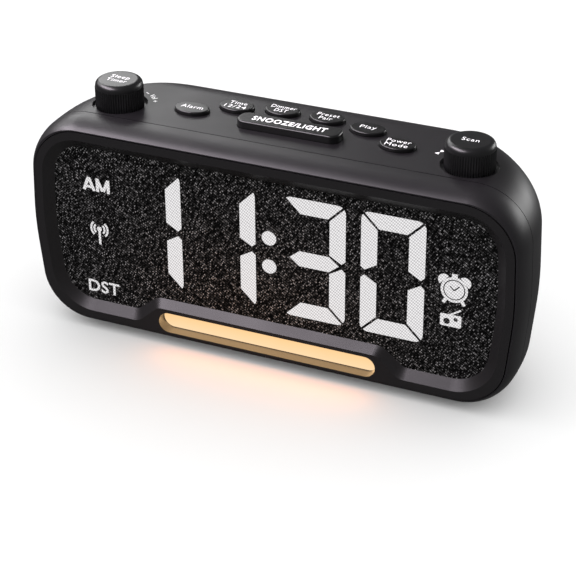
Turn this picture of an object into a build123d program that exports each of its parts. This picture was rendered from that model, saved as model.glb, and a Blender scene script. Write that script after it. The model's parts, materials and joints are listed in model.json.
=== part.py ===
from build123d import *
import os
from math import cos, pi, sin, sqrt

# A bedside clock radio, in millimetres. X runs to the right as the listener sees it, Y from the
# front to the back and Z up from the table. The origin is under the middle of the body.

# Body
HALF_WIDTH = 92.0  # at the waist, on the seam between the shells
DEPTH = 57.8
DECK_Z = 82.0
BOTTOM_Z = 1.5  # the feet lift the body by this
WAIST_Z = 41.4  # height at which the body is widest
TOP_TAPER = 0.04  # how far each side leans in, per millimetre above the waist
BOTTOM_TAPER = 0.09
WAIST_RADIUS = 120.0
TOP_RADIUS = 20.0
BOTTOM_RADIUS = 19.5
WALL = 2.2
FRONT_Y = -DEPTH / 2
BACK_Y = DEPTH / 2
SEAM_Y = FRONT_Y + 10.8

# The rear housing's plan is a superellipse that would close at this distance behind the seam
PLAN_REACH = 50.5
PLAN_POWER = 2.64
BACK_RADIUS = 19.7  # round from the deck down to the back
UNDER_RADIUS = 12.0  # round from the back to the bottom
BACK_EDGE_RADIUS = 4.0

# Front shell: how far its front edge lies inside the seam outline
BAND_TOP = 2.7
BAND_SIDE = 1.9
BAND_POWER = 2.7
GROOVE = 0.3  # gap between the shell and the bezel frame
SEAM_GAP = 0.3
TONGUE_INSET = 0.8
TONGUE_REACH = 1.5

# Bezel frame: rim, chamfer and the step over the light bar
BEZEL_HALF = 89.2
BEZEL_TOP = 78.6
BEZEL_BOTTOM = 4.9
BEZEL_TOP_RADIUS = 18.0
BEZEL_BOTTOM_RADIUS = 17.0
BEZEL_DEPTH = 4.4
RIM = 2.9
CHAMFER = 3.4
CHAMFER_DEPTH = 2.8
STEP_HALF_LOW = 51.0  # half width of the step where it meets the lower edge of the opening
STEP_RUN = 8.0
STEP_FABRIC_Z = 17.8
STEP_RIM_Z = 15.1
FABRIC_Y = FRONT_Y + CHAMFER_DEPTH
FABRIC_THICKNESS = 0.4
PANEL_THICKNESS = 1.5
PANEL_LAP = 1.8  # how far fabric and panel reach behind the frame

# Light bar
SLOT_HALF = 41.5
SLOT_LOW = 5.8
SLOT_HIGH = 13.7
LIGHT_BAR_THICKNESS = 2.4
LIGHT_BAR_LAP = 0.7

# Display
DIGIT_HEIGHT = 46.0
DIGIT_WIDTH = 22.8
DIGIT_MID_Z = 45.4
SEGMENT = 5.8
SEGMENT_GAP = 0.9
DIGIT_RIGHTS = (-32.4, -4.1, 29.1, 57.4)
DIGIT_TEXT = ("bc", "bc", "abcdg", "abcdef")
COLON_X = 1.0
COLON_RADIUS = 2.7
COLON_RISE = 5.5
ICONS = ((-65.2, 58.5, 10.5, 5.0), (-65.2, 39.5, 6.5, 9.0), (-65.0, 20.6, 12.0, 5.0),
         (67.8, 46.0, 11.5, 11.0), (67.0, 34.2, 7.0, 6.5))  # centre x, centre z, width, height
WINDOW_THICKNESS = 0.8
REFLECTOR_HALF = 75.0
REFLECTOR_LOW = 18.0
REFLECTOR_HIGH = 70.0
REFLECTOR_DEPTH = 5.0
REFLECTOR_RADIUS = 6.0
DISPLAY_LAMP = (2.8, 0.9, 2.0)  # width, depth, height
LIGHT_LAMP = (3.6, 1.0, 2.8)
LIGHT_LAMP_PITCH = 10
LIGHT_LAMPS = 8
BOARD = 1.6

# Controls on the deck
KEY_A = 6.36
KEY_B = 4.45
KEY_RISE = 1.4
KEY_ROUND = 0.45
KEY_GAP = 0.25
KEY_FLANGE = 1.0  # how far a cap's flange reaches past it, under the deck
KEY_POST_RADIUS = 1.6
UNDER_DECK = DECK_Z - WALL - 0.1  # top of the flanges
KEY_TRAVEL = 0.5
KEYS = {"alarm_key": (-38.3, -3.0), "time_key": (-24.6, 4.8), "dimmer_key": (-8.4, 7.8),
        "preset_key": (8.4, 7.8), "play_key": (24.6, 4.8), "power_key": (38.3, -3.0)}
SNOOZE_LENGTH = 38.0
SNOOZE_WIDTH = 8.2
SNOOZE_RADIUS = 3.2
SNOOZE_Y = -5.6
SNOOZE_RISE = 2.8
SNOOZE_ROUND = 0.7
SNOOZE_FLANGE_THICKNESS = 1.2
SNOOZE_POST_X = 11.0
KNOBS = {"volume": -64.9, "tuning": 64.9}
KNOB_Y = -6.7
KNOB_RADIUS = 8.6
KNOB_TOP = 91.2
KNOB_ROUND = 2.0
KNOB_SHOULDER = KNOB_TOP - 2.5  # where the ridges end
KNOB_WALL = 1.5
KNOB_HUB_RADIUS = 4.8
KNOB_RIDGES = 60
RIDGE_DEPTH = 0.32
RECESS_RADIUS = 9.9
RECESS_DEPTH = 1.5
SKIRT_GAP = 0.7  # knob above its recess floor
KNOB_BOTTOM = DECK_Z - RECESS_DEPTH + SKIRT_GAP
SHAFT_RADIUS = 3.0
SHAFT_TOP = 89.1
RUNNING = 0.05

# Boards inside
KEY_BOARD_TOP = 68.0
KEY_BOARD_HALF = 74.0
KEY_BOARD_FRONT = -15.0
KEY_BOARD_BACK = 14.0
KEY_BOSS_Y = (-11.0, 10.0)
SWITCH_HALF = 3.0
SWITCH_HEIGHT = 3.5
SWITCH_STEM_RADIUS = 1.75
STEM_TOP = KEY_BOARD_TOP + 4.3
POST_LOW = STEM_TOP + KEY_TRAVEL + 0.1  # lower end of a key's post
ENCODER_SIDE = 12.0
ENCODER_HEIGHT = 6.5
ENCODER_BUSH_RADIUS = 4.4
ENCODER_BUSH_HEIGHT = 3.0
ENCODER_FLOOR = KEY_BOARD_TOP + 1.0
ENCODER_CAVITY_TOP = KEY_BOARD_TOP + 4.6
ENCODER_CAVITY_RADIUS = 4.6
SHAFT_FLANGE = (4.2, 1.2)  # radius, thickness
SHAFT_FLANGE_TOP = ENCODER_CAVITY_TOP - 0.6  # the gap is the push travel and a little more
PLUNGER = (2.6, 0.9)
PLUNGER_TOP = SHAFT_FLANGE_TOP - 1.25
MAIN_BOARD_Y = 4.0
MAIN_BOARD_HALF = 56.0
MAIN_BOARD_LOW = 12.0
MAIN_BOARD_HIGH = 60.0
MAIN_BOSS_Z = (18.0, 54.0)
BOSS_X = 50.0
BOSS_RADIUS = 3.0
BOARD_HOLE = 1.3
PILOT = 1.15
CHIPS = ((-34, -24, 34, 44, 1.4), (8, 20, 28, 40, 1.6), (30, 37, 44, 49, 1.4),
         (-8, -2, 46, 50, 2.2))  # left, right, low, high, thickness
CAPACITOR_X = (24, 33, 42)
CAPACITOR_Z = 20.0
CAPACITOR = (3.0, 9.0)  # radius, height

# Speakers, ports and fixings
SPEAKER_X = 21.0
SPEAKER_Z = 45.0
SPEAKER_FLANGE = 34.0
SPEAKER_CORNER = 4.0
SPEAKER_SEAT = BACK_Y - WALL - 0.2  # the basket's flange rests just inside the back
FLANGE_THICKNESS = 1.6
BASKET_WIDE = 15.6
BASKET_NARROW = 9.6
BASKET_DEPTH = 9.0
BASKET_WALL = 1.0
BASKET_FLOOR = 1.5
MAGNET_RADIUS = 10.5
MAGNET_DEPTH = 5.0
SURROUND = (13.0, 1.3)  # middle radius, roll radius
CONE = (4.6, 11.9, 6.6)  # narrow radius, wide radius, depth
CONE_WALL = 0.5
DUST_CAP_RADIUS = 6.2
SPEAKER_SCREW_INSET = 3.0
GRILLE_REACH = 15.0
GRILLE_PITCH = 2.7
GRILLE_SLOT = 1.4
GRILLE_ROWS = 11
PORT_BOARD_Z = 8.0
PORT_BOARD_HALF = 38.0
PORT_BOARD_FRONT = 14.5
DC_X = -22.0
USB_X = 0.0
AERIAL_X = 22.0
AERIAL_Z = 19.0
PORT_Z = 15.5
DC_BODY = (9.0, 15.5, 11.0)  # width, front y, height
DC_MOUTH = (4.0, 2.85, 1.05)  # radii of collar, bore and pin
USB_SIZE = (8.94, 3.26)
USB_HOLLOW = (8.34, 2.56)
USB_Z = PORT_BOARD_Z + BOARD + 1.65
INNER_BACK = BACK_Y - WALL - 0.3  # where boards and sockets stop short of the back wall
FEET = ((-62.0, -11.0), (62.0, -11.0), (-48.0, 14.0), (48.0, 14.0))
FOOT_RADIUS = 5.0
FOOT_ROUND = 0.4
FOOT_SEAT = BOTTOM_Z + 0.5
CASE_SCREW_X = 48.0
CASE_SCREW_Y = -11.5
CASE_SCREW_SEAT = BOTTOM_Z + 1.6
HOOK_X = 28.0
TAB_HALF = 6.0
BATTERY_SCREW_Y = -14.0
BATTERY_DOOR = (27.6, 31.6, 3.0)  # width, depth, corner radius
BATTERY_DOOR_Y = -1.5
CELL_RADIUS = 10.0
HOLDER_LOW = BOTTOM_Z + WALL + 0.2
HOLDER_HEIGHT = 5.4

# Ribbon cables
RIBBON = 0.8
DISPLAY_RIBBON_X = (-20, -2)
KEY_RIBBON_X = (26, 40)
KEY_RIBBON_Y = -5.0
KEY_RIBBON_LOW = 56.0
FAR = 100.0  # further than any side of the radio


def across(y):
    """Plane across the radio at y, with local x to the right and local y up."""
    return Plane(origin=(0, y, 0), x_dir=(1, 0, 0), z_dir=(0, -1, 0))


def level(z):
    return Plane.XY.offset(z)


def plate(sketch, y_front, y_back):
    """Solid of a sketch drawn on the plane across the radio, between two depths."""
    return extrude(across(y_front) * sketch, amount=-(y_back - y_front))


def slab(sketch, z_low, z_high):
    return extrude(level(z_low) * sketch, amount=z_high - z_low)


def rod(x, z, radius, y_front, y_back):
    """Round bar along Y."""
    return plate(Pos(x, z) * Circle(radius), y_front, y_back)


def post(x, y, radius, z_low, z_high):
    """Round bar along Z."""
    return slab(Pos(x, y) * Circle(radius), z_low, z_high)


def block(x0, x1, y0, y1, z0, z1):
    return Pos((x0 + x1) / 2, (y0 + y1) / 2, (z0 + z1) / 2) * Box(x1 - x0, y1 - y0, z1 - z0)


def closed(points, radii):
    return make_face(FilletPolyline(points, radius=radii, close=True))


def mirrored(points, radii):
    """Outline of the right half, given from top to bottom, joined to its mirror image."""
    left = [(-x, z) for x, z in reversed(points)]
    return closed(points + left, list(radii) + list(reversed(radii)))


def body_outline(half, top, bottom, inset=0.0, side_inset=None):
    """Body section: sides that lean in above and below the waist, and round corners."""
    side = inset if side_inset is None else side_inset
    top_half = half - TOP_TAPER * (top - WAIST_Z) - side
    bottom_half = half - BOTTOM_TAPER * (WAIST_Z - bottom) - side
    corner = min(inset, side)
    points = [(top_half, top - inset), (half - side, WAIST_Z), (bottom_half, bottom + inset)]
    return mirrored(points, (TOP_RADIUS - corner, WAIST_RADIUS, BOTTOM_RADIUS - corner))


def rear_section(y, inset, back):
    """Section of the rear housing at y, inset all round, with a rounded rim at its back."""
    into_rim = max(0.0, y - (back - BACK_EDGE_RADIUS))
    inset += BACK_EDGE_RADIUS - sqrt(BACK_EDGE_RADIUS ** 2 - into_rim ** 2)
    reach = (y - SEAM_Y) / PLAN_REACH
    half = HALF_WIDTH * (1 - reach ** PLAN_POWER) ** (1 / PLAN_POWER)
    close_y = SEAM_Y + PLAN_REACH
    into_top = max(0.0, y - (close_y - BACK_RADIUS))
    into_bottom = max(0.0, y - (close_y - UNDER_RADIUS))
    top = DECK_Z - BACK_RADIUS + sqrt(BACK_RADIUS ** 2 - into_top ** 2)
    bottom = BOTTOM_Z + UNDER_RADIUS - sqrt(UNDER_RADIUS ** 2 - into_bottom ** 2)
    return across(y) * body_outline(half, top, bottom, inset)


def rear_loft(y_first, y_last, inset):
    """Smooth body through sections, even along its length and crowded round its back rim."""
    rim_start = y_last - BACK_EDGE_RADIUS
    steps = 9
    stations = [y_first + (rim_start - y_first) * i / steps for i in range(steps + 1)]
    stations += [rim_start + BACK_EDGE_RADIUS * part for part in (0.45, 0.8, 0.95)]
    return loft([rear_section(y, inset, y_last) for y in stations])


def opening(rim):
    """Outline of the bezel's opening: at the fabric, or at the rim when rim is true."""
    grow = CHAMFER if rim else 0.0
    lap = RIM + CHAMFER - grow
    half = BEZEL_HALF - lap
    top_half = half - TOP_TAPER * (BEZEL_TOP - WAIST_Z)
    low_half = half - BOTTOM_TAPER * (WAIST_Z - BEZEL_BOTTOM)
    low = BEZEL_BOTTOM + lap
    step = STEP_RIM_Z if rim else STEP_FABRIC_Z
    run = STEP_HALF_LOW - 0.36 * grow
    points = [(top_half, BEZEL_TOP - lap), (half, WAIST_Z), (low_half, low), (run, low),
              (run - STEP_RUN, step)]
    radii = (BEZEL_TOP_RADIUS - lap, WAIST_RADIUS, BEZEL_BOTTOM_RADIUS - lap + 2.0,
             4.0 + grow / 2, 5.5 - grow / 2)
    return mirrored(points, radii)


def bezel_outline(grow=0.0):
    points = [(BEZEL_HALF - TOP_TAPER * (BEZEL_TOP - WAIST_Z) + grow, BEZEL_TOP + grow),
              (BEZEL_HALF + grow, WAIST_Z),
              (BEZEL_HALF - BOTTOM_TAPER * (WAIST_Z - BEZEL_BOTTOM) + grow, BEZEL_BOTTOM - grow)]
    return mirrored(points, (BEZEL_TOP_RADIUS + grow, WAIST_RADIUS, BEZEL_BOTTOM_RADIUS + grow))


def stadium(half, low, high, grow=0.0):
    """Slot outline with round ends."""
    height = high - low + 2 * grow
    return Pos(0, (low + high) / 2) * SlotOverall(2 * (half + grow), height)


def segment_shapes():
    """Seven mitred bars of one digit, centred on its own middle, by letter."""
    w, h, s, g = DIGIT_WIDTH / 2, DIGIT_HEIGHT / 2, SEGMENT, SEGMENT_GAP / 2
    upright = [(w, g + s / 4), (w, h - s / 3 - g), (w - s / 3, h - g - s / 8), (w - s, h - s - g),
               (w - s, g + s / 2), (w - s / 2, g)]
    bar = [(-w + s / 3 + g, h), (w - s / 3 - g, h), (w - s - g, h - s), (-w + s + g, h - s)]
    middle = [(-w + s / 2 + g, 0), (-w + s + g, s / 2), (w - s - g, s / 2), (w - s / 2 - g, 0),
              (w - s - g, -s / 2), (-w + s + g, -s / 2)]

    def face(points, flip_x=1, flip_y=1):
        return make_face(Polyline([(x * flip_x, y * flip_y) for x, y in points], close=True))

    return {"a": face(bar), "b": face(upright), "c": face(upright, 1, -1), "d": face(bar, 1, -1),
            "e": face(upright, -1, -1), "f": face(upright, -1, 1), "g": face(middle)}


def lit_shapes():
    """Everything that lights up on the display, as sketches on the plane across the radio."""
    bars = segment_shapes()
    shapes = []
    for right, letters in zip(DIGIT_RIGHTS, DIGIT_TEXT):
        centre = right - DIGIT_WIDTH / 2
        shapes += [Pos(centre, DIGIT_MID_Z) * bars[letter] for letter in letters]
    for rise in (-COLON_RISE, COLON_RISE):
        shapes.append(Pos(COLON_X, DIGIT_MID_Z + rise) * Circle(COLON_RADIUS))
    shapes += [Pos(x, z) * Rectangle(width, height) for x, z, width, height in ICONS]
    return shapes


def front_shell():
    """Convex band round the bezel frame, with tabs that the rear housing is screwed and hooked to."""
    sections = []
    band = SEAM_Y - FRONT_Y
    for part in (1.0, 0.82, 0.62, 0.4, 0.18, 0.0):
        turn = part ** BAND_POWER
        y = SEAM_Y - band * part + (GROOVE if part == 1.0 else 0.0)
        sections.append(across(y) * body_outline(HALF_WIDTH, DECK_Z, BOTTOM_Z, BAND_TOP * turn,
                                                 BAND_SIDE * turn))
    shell = loft(sections)
    shell -= plate(bezel_outline(GROOVE), FRONT_Y - 1, SEAM_Y + 1)
    rebate = body_outline(HALF_WIDTH, DECK_Z, BOTTOM_Z, TONGUE_INSET)
    shell -= plate(rebate, SEAM_Y - TONGUE_REACH - SEAM_GAP, SEAM_Y + 1)
    shell -= block(-FAR, FAR, SEAM_Y - SEAM_GAP / 2, BACK_Y, 0, FAR)
    tab_low = BOTTOM_Z + WALL + 0.3
    tab_front = SEAM_Y - 5.0
    root = tab_front + 2.0
    root_depth = 0.8  # joins a tab to the wall beside it
    tab_thickness = 2.0
    boss_height = 7.0
    hook_top = DECK_Z - WALL - 0.3
    hook_thickness = 1.8
    hook_back = SEAM_Y + 6.0
    for side in (-1, 1):
        x = side * CASE_SCREW_X
        left, right = x - TAB_HALF, x + TAB_HALF
        tab = block(left, right, tab_front, CASE_SCREW_Y + TAB_HALF, tab_low, tab_low + tab_thickness)
        tab += block(left, right, tab_front, root, tab_low - root_depth, tab_low)
        tab += post(x, CASE_SCREW_Y, BOSS_RADIUS + 0.2, tab_low, tab_low + boss_height)
        shell += tab - post(x, CASE_SCREW_Y, PILOT + 0.05, tab_low - 1, tab_low + boss_height - 1)
        left, right = side * HOOK_X - TAB_HALF, side * HOOK_X + TAB_HALF
        shell += block(left, right, tab_front, hook_back, hook_top - hook_thickness, hook_top)
        shell += block(left, right, tab_front, root, hook_top, hook_top + root_depth)
    return shell


def bezel_frame():
    """Frame with a flat rim, a chamfer down to the fabric and the slot for the light bar."""
    frame = plate(bezel_outline(), FRONT_Y, FRONT_Y + BEZEL_DEPTH)
    frame -= loft([across(FRONT_Y) * opening(True), across(FABRIC_Y) * opening(False)], ruled=True)
    rebate = offset(opening(False), PANEL_LAP + 0.1, kind=Kind.INTERSECTION)
    frame -= plate(rebate, FABRIC_Y, FRONT_Y + BEZEL_DEPTH + 1)
    frame -= plate(stadium(SLOT_HALF, SLOT_LOW, SLOT_HIGH), FRONT_Y - 1, FRONT_Y + BEZEL_DEPTH + 1)
    return frame


def panel_outline():
    return offset(opening(False), PANEL_LAP, kind=Kind.INTERSECTION)


def display_parts():
    """Fabric, rigid panel, lit windows, reflector, board and light-emitting diodes, front to back."""
    panel_y = FABRIC_Y + FABRIC_THICKNESS
    window_y = panel_y + PANEL_THICKNESS
    reflector_back = window_y + REFLECTOR_DEPTH
    board_back = reflector_back + BOARD
    windows = [plate(shape, window_y, window_y + WINDOW_THICKNESS) for shape in lit_shapes()]
    body = Pos(0, (REFLECTOR_LOW + REFLECTOR_HIGH) / 2) * RectangleRounded(
        2 * REFLECTOR_HALF, REFLECTOR_HIGH - REFLECTOR_LOW, REFLECTOR_RADIUS)
    reflector = plate(body, window_y, reflector_back)
    reflector -= [plate(shape, window_y, reflector_back) for shape in lit_shapes()]
    board = plate(body, reflector_back, board_back)
    lamps = []
    for shape in lit_shapes():
        spot = shape.center()
        lamps.append(lamp(DISPLAY_LAMP, spot.X, reflector_back, spot.Y))
    return {"grille_fabric": plate(panel_outline(), FABRIC_Y, panel_y),
            "display_panel": plate(panel_outline(), panel_y, window_y),
            "display_segments": Compound(windows),
            "display_reflector": reflector,
            "display_board": board,
            "display_leds": Compound(lamps)}


def lamp(size, x, y_back, z):
    """Surface-mounted lamp on the front of a board whose face is at y_back."""
    width, depth, height = size
    return block(x - width / 2, x + width / 2, y_back - depth, y_back, z - height / 2, z + height / 2)


def light_bar():
    """Diffuser behind the slot, with its strip board and lamps."""
    front = FRONT_Y + BEZEL_DEPTH
    back = front + LIGHT_BAR_THICKNESS
    diffuser = plate(stadium(SLOT_HALF, SLOT_LOW, SLOT_HIGH, LIGHT_BAR_LAP), front, back)
    mixing_gap = 2.4
    margin = 0.5
    board_y = back + mixing_gap
    board = block(-SLOT_HALF, SLOT_HALF, board_y, board_y + BOARD, SLOT_LOW + margin, SLOT_HIGH - margin)
    middle = (SLOT_LOW + SLOT_HIGH) / 2
    first = -LIGHT_LAMP_PITCH * (LIGHT_LAMPS - 1) / 2
    lamps = [lamp(LIGHT_LAMP, first + LIGHT_LAMP_PITCH * i, board_y, middle) for i in range(LIGHT_LAMPS)]
    return {"light_bar_diffuser": diffuser, "light_board": board, "light_leds": Compound(lamps)}


def key_shape(grow=0.0):
    return Ellipse(KEY_A + grow, KEY_B + grow)


def snooze_shape(grow=0.0):
    return RectangleRounded(SNOOZE_LENGTH + 2 * grow, SNOOZE_WIDTH + 2 * grow, SNOOZE_RADIUS + grow)


def key_cap(x, y):
    """Oval cap with a softened top, a flange under the deck and a post over its switch."""
    flange_low = UNDER_DECK - KEY_FLANGE
    cap = slab(key_shape(), flange_low, DECK_Z + KEY_RISE)
    cap = fillet(cap.edges().group_by(Axis.Z)[-1], KEY_ROUND)
    cap += slab(key_shape(KEY_FLANGE), flange_low, UNDER_DECK)
    cap += post(0, 0, KEY_POST_RADIUS, POST_LOW, flange_low)
    return Pos(x, y, 0) * cap


def snooze_bar():
    """Long bar with a softened top, a flange under the deck and a post over each of its switches."""
    flange_low = UNDER_DECK - SNOOZE_FLANGE_THICKNESS
    bar = slab(snooze_shape(), flange_low, DECK_Z + SNOOZE_RISE)
    bar = fillet(bar.edges().group_by(Axis.Z)[-1], SNOOZE_ROUND)
    bar += slab(snooze_shape(KEY_FLANGE), flange_low, UNDER_DECK)
    for side in (-1, 1):
        bar += post(side * SNOOZE_POST_X, 0, KEY_POST_RADIUS, POST_LOW, flange_low)
    return Pos(0, SNOOZE_Y, 0) * bar


def knob(x):
    """Ridged knob with a rounded top, hollow below, on a hub that grips the shaft."""
    rim = []
    for i in range(2 * KNOB_RIDGES):
        radius = KNOB_RADIUS - (RIDGE_DEPTH if i % 2 else 0.0)
        angle = pi * i / KNOB_RIDGES
        rim.append((radius * cos(angle), radius * sin(angle)))
    side = slab(make_face(Polyline(rim, close=True)), KNOB_BOTTOM, KNOB_SHOULDER)
    crown = post(0, 0, KNOB_RADIUS - RIDGE_DEPTH / 2, KNOB_SHOULDER, KNOB_TOP)
    crown = fillet(crown.edges().group_by(Axis.Z)[-1], KNOB_ROUND)
    shape = side + crown
    shape -= slab(Circle(KNOB_RADIUS - KNOB_WALL) - Circle(KNOB_HUB_RADIUS), KNOB_BOTTOM, KNOB_SHOULDER - 0.4)
    shape -= slab(shaft_section(), KNOB_BOTTOM, SHAFT_TOP)
    return Pos(x, KNOB_Y, 0) * shape


def shaft_section():
    """Round shaft with a flat, as pressed into the knob."""
    flat = SHAFT_RADIUS / 2  # from the axis to the flat
    return Circle(SHAFT_RADIUS) - Pos(0, SHAFT_RADIUS + flat) * Rectangle(2 * SHAFT_RADIUS, 2 * SHAFT_RADIUS)


def encoder(x):
    """Encoder body with its bushing, the shaft with its flange, and the push plunger below it."""
    body_top = KEY_BOARD_TOP + ENCODER_HEIGHT
    bush_top = body_top + ENCODER_BUSH_HEIGHT
    body = slab(Rectangle(ENCODER_SIDE, ENCODER_SIDE), KEY_BOARD_TOP, body_top)
    body += post(0, 0, ENCODER_BUSH_RADIUS, body_top, bush_top)
    body -= post(0, 0, ENCODER_CAVITY_RADIUS, ENCODER_FLOOR, ENCODER_CAVITY_TOP)
    body -= post(0, 0, SHAFT_RADIUS + RUNNING, ENCODER_CAVITY_TOP, bush_top + 1)
    radius, thickness = SHAFT_FLANGE
    shaft = post(0, 0, radius, SHAFT_FLANGE_TOP - thickness, SHAFT_FLANGE_TOP)
    shaft += post(0, 0, SHAFT_RADIUS, SHAFT_FLANGE_TOP, KNOB_BOTTOM)
    shaft += slab(shaft_section(), KNOB_BOTTOM, SHAFT_TOP)
    radius, thickness = PLUNGER
    plunger = post(0, 0, radius, PLUNGER_TOP - thickness, PLUNGER_TOP)
    return {name: Pos(x, KNOB_Y, 0) * shape for name, shape in
            (("encoder_body", body), ("encoder_shaft", shaft), ("encoder_plunger", plunger))}


def switch_places():
    return list(KEYS.values()) + [(side * SNOOZE_POST_X, SNOOZE_Y) for side in (-1, 1)]


def key_board_parts():
    """Board below the deck with one tact switch under each key and two under the snooze bar."""
    low = KEY_BOARD_TOP - BOARD
    case_top = KEY_BOARD_TOP + SWITCH_HEIGHT
    board = block(-KEY_BOARD_HALF, KEY_BOARD_HALF, KEY_BOARD_FRONT, KEY_BOARD_BACK, low, KEY_BOARD_TOP)
    for x, y in key_bosses():
        board -= post(x, y, BOARD_HOLE, low - 1, KEY_BOARD_TOP + 1)
    switches = []
    for x, y in switch_places():
        case = slab(Pos(x, y) * Rectangle(2 * SWITCH_HALF, 2 * SWITCH_HALF), KEY_BOARD_TOP, case_top)
        switches.append(case + post(x, y, SWITCH_STEM_RADIUS, case_top, STEM_TOP))
    return {"key_board": board, "tact_switches": Compound(switches)}


def key_bosses():
    return [(side * BOSS_X, y) for side in (-1, 1) for y in KEY_BOSS_Y]


def main_bosses():
    return [(side * BOSS_X, z) for side in (-1, 1) for z in MAIN_BOSS_Z]


def main_board_parts():
    """Upright board with its chips and capacitors, and the small board that carries the rear sockets."""
    front, back = MAIN_BOARD_Y, MAIN_BOARD_Y + BOARD
    board = block(-MAIN_BOARD_HALF, MAIN_BOARD_HALF, front, back, MAIN_BOARD_LOW, MAIN_BOARD_HIGH)
    for x, z in main_bosses():
        board -= rod(x, z, BOARD_HOLE, front - 1, back + 1)
    chips = [block(x0, x1, front - thickness, front, z0, z1) for x0, x1, z0, z1, thickness in CHIPS]
    radius, height = CAPACITOR
    chips += [rod(x, CAPACITOR_Z, radius, front - height, front) for x in CAPACITOR_X]
    ports = block(-PORT_BOARD_HALF, PORT_BOARD_HALF, PORT_BOARD_FRONT, INNER_BACK, PORT_BOARD_Z,
                  PORT_BOARD_Z + BOARD)
    return {"main_board": board, "main_chips": Compound(chips), "port_board": ports}


def speaker(x):
    """Small driver that faces the back: basket, magnet, surround, cone and dust cap."""
    z = SPEAKER_Z
    flange_front = SPEAKER_SEAT - FLANGE_THICKNESS
    basket_middle = flange_front - BASKET_DEPTH / 2
    basket_back = flange_front - BASKET_DEPTH
    bowl = (BASKET_WIDE - BASKET_WALL, BASKET_NARROW - BASKET_WALL)
    square = Pos(x, z) * RectangleRounded(SPEAKER_FLANGE, SPEAKER_FLANGE, SPEAKER_CORNER)
    basket = plate(square, flange_front, SPEAKER_SEAT)
    basket += along_y(Cone(BASKET_NARROW, BASKET_WIDE, BASKET_DEPTH), x, basket_middle, z)
    basket -= along_y(Cone(bowl[1], bowl[0], BASKET_DEPTH), x, basket_middle, z)
    basket -= rod(x, z, bowl[0], flange_front - 0.1, SPEAKER_SEAT + 1)
    basket += rod(x, z, BASKET_NARROW, basket_back - BASKET_FLOOR, basket_back)
    for dx, dz in speaker_corners():
        basket -= rod(x + dx, z + dz, 1.1, SPEAKER_SEAT - 3, SPEAKER_SEAT + 1)
    magnet_front = basket_back - BASKET_FLOOR
    magnet = rod(x, z, MAGNET_RADIUS, magnet_front - MAGNET_DEPTH, magnet_front)
    middle, roll = SURROUND
    roll_y = SPEAKER_SEAT - 1.5
    surround = along_y(Torus(middle, roll), x, roll_y, z) - rod(x, z, BASKET_WIDE, roll_y - 2 * roll, roll_y)
    narrow, wide, depth = CONE
    cone_y = SPEAKER_SEAT - 4.8
    cone = along_y(Cone(narrow, wide, depth), x, cone_y, z)
    cone -= along_y(Cone(narrow - CONE_WALL, wide - CONE_WALL, depth), x, cone_y + 0.1, z)
    cap = along_y(Sphere(DUST_CAP_RADIUS), x, SPEAKER_SEAT - 11.7, z)
    cap -= rod(x, z, MAGNET_RADIUS, SPEAKER_SEAT - 30, SPEAKER_SEAT - 7.5)
    return {"speaker_basket": basket, "speaker_magnet": magnet, "speaker_surround": surround,
            "speaker_cone": cone, "speaker_dust_cap": cap}


def along_y(shape, x, y, z):
    """Place a shape made about Z so that its top points to the back."""
    return Pos(x, y, z) * Rot(-90, 0, 0) * shape


def speaker_corners():
    reach = SPEAKER_FLANGE / 2 - SPEAKER_SCREW_INSET
    return [(dx, dz) for dx in (-reach, reach) for dz in (-reach, reach)]


def screw_up(x, y, z_head, length, radius=1.15):
    """Pan-head screw that points up, with its head's underside at z_head."""
    head_height, slot_half, slot_length = 1.6, 0.3, 1.5
    head = post(x, y, 2.3 * radius, z_head - head_height, z_head)
    head -= block(x - slot_length, x + slot_length, y - slot_half, y + slot_half, z_head - 2, z_head - 1.0)
    return head + post(x, y, radius, z_head, z_head + length)


def screw_back(x, z, y_head, length, radius=1.15):
    """Pan-head screw that points to the back, with its head's back face at y_head."""
    head_height, slot_half, slot_length = 1.4, 0.3, 1.3
    head = rod(x, z, 2.1 * radius, y_head - head_height, y_head)
    head -= block(x - slot_length, x + slot_length, y_head - 2, y_head - 0.8, z - slot_half, z + slot_half)
    return head + rod(x, z, radius, y_head, y_head + length)


def fixings():
    """Screws of the case, the boards and the speakers."""
    case = [screw_up(side * CASE_SCREW_X, CASE_SCREW_Y, CASE_SCREW_SEAT, 6.4) for side in (-1, 1)]
    boards = [screw_up(x, y, KEY_BOARD_TOP - BOARD, 7.5) for x, y in key_bosses()]
    boards += [screw_back(x, z, MAIN_BOARD_Y, 7.5) for x, z in main_bosses()]
    speakers = [screw_back(side * SPEAKER_X + dx, SPEAKER_Z + dz, SPEAKER_SEAT - FLANGE_THICKNESS, 2.9, 1.0)
                for side in (-1, 1) for dx, dz in speaker_corners()]
    return {"case_screws": Compound(case), "board_screws": Compound(boards),
            "speaker_screws": Compound(speakers)}


def battery_parts():
    """Coin cell in a holder over a screwed door in the bottom."""
    low = HOLDER_LOW
    pocket = post(0, 0, CELL_RADIUS + 0.3, low - 1, low + 3.9)
    holder = block(-13, 13, -11.5, 12.5, low, low + HOLDER_HEIGHT) - pocket
    can_top = low + 2.2
    cell = post(0, 0, CELL_RADIUS, low + 0.1, can_top) + post(0, 0, CELL_RADIUS - 0.8, can_top, can_top + 1.1)
    contact = block(-2.5, 2.5, -6, 6, low + 3.5, low + 3.8)
    door_low, door_top = BOTTOM_Z + 0.2, BOTTOM_Z + 1.5
    sink = BOTTOM_Z + 0.9
    door = slab(Pos(0, BATTERY_DOOR_Y) * RectangleRounded(*BATTERY_DOOR), door_low, door_top)
    door -= post(0, BATTERY_SCREW_Y, 1.2, 0, door_top + 1)
    door -= post(0, BATTERY_SCREW_Y, 2.2, 0, sink)
    screw = screw_up(0, BATTERY_SCREW_Y, sink, 3.0, 0.9)
    screw -= post(0, BATTERY_SCREW_Y, 5, -2, BOTTOM_Z + 0.1)
    return {"battery_holder": holder, "coin_cell": cell, "battery_contact": contact,
            "battery_door": door, "battery_screw": screw}


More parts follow.
